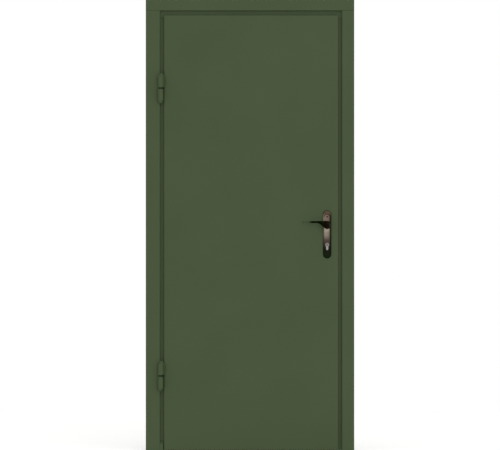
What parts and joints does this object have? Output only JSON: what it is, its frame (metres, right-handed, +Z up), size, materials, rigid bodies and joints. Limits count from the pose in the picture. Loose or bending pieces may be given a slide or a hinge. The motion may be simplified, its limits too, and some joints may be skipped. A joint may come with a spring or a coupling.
{
  "type": "steel front door block, single leaf opening outwards, hinges on the left",
  "caption": "Plain painted steel front door: bent-sheet frame with casing, flush leaf on weld-on barrel hinges, lever handles on long backplates and a cylinder lock.",
  "frame": {"origin": "middle of the sill's flat underside", "axes": "+X towards the lock side, +Y into the wall, +Z up; the outside face looks along -Y"},
  "size_m": [0.97, 0.147, 2.1],
  "materials": {
    "painted_steel": "satin",
    "rubber": "matte",
    "zinc": "satin",
    "bright_steel": "satin",
    "nickel": "satin",
    "antique_copper": "gloss",
    "wool": "matte"
  },
  "bodies": {
    "frame": {"frame_head": "painted_steel", "frame_hinge_jamb": "painted_steel", "frame_lock_jamb": "painted_steel", "threshold": "painted_steel", "groove_foot_closer": "painted_steel", "head_seal": "rubber", "hinge_side_seal": "rubber", "lock_side_seal": "rubber", "threshold_seal": "rubber", "strike_plate": "zinc", "top_hinge_frame_knuckle": "painted_steel", "bottom_hinge_frame_knuckle": "painted_steel", "top_hinge_pin": "bright_steel", "bottom_hinge_pin": "bright_steel", "top_hinge_washer": "bright_steel", "bottom_hinge_washer": "bright_steel"},
    "leaf": {"top_hinge_leaf_knuckle": "painted_steel", "bottom_hinge_leaf_knuckle": "painted_steel", "leaf_outer_sheet": "painted_steel", "leaf_inner_tray": "painted_steel", "leaf_ribs": "zinc", "leaf_filling": "wool", "lock_case": "zinc", "lock_faceplate": "zinc", "latch_bolt": "bright_steel", "dead_bolt": "bright_steel", "lock_cylinder": "nickel", "outside_backplate": "antique_copper", "inside_backplate": "antique_copper"},
    "levers": {"outside_lever": "antique_copper", "inside_lever": "antique_copper", "spindle": "bright_steel"}
  },
  "joints": [
    {"name": "leaf_swing", "type": "hinge", "parent": "frame", "child": "leaf", "pos_m": [-0.415, -0.0685, 1.015], "axis": [0, 0, -1], "range_deg": [0, 120]},
    {"name": "lever_turn", "type": "hinge", "parent": "leaf", "child": "levers", "pos_m": [0.359, -0.025, 1.05], "axis": [0, -1, 0], "range_deg": [0, 45], "stiffness_Nm_per_rad": 1.5, "springref_deg": -28.65}
  ]
}
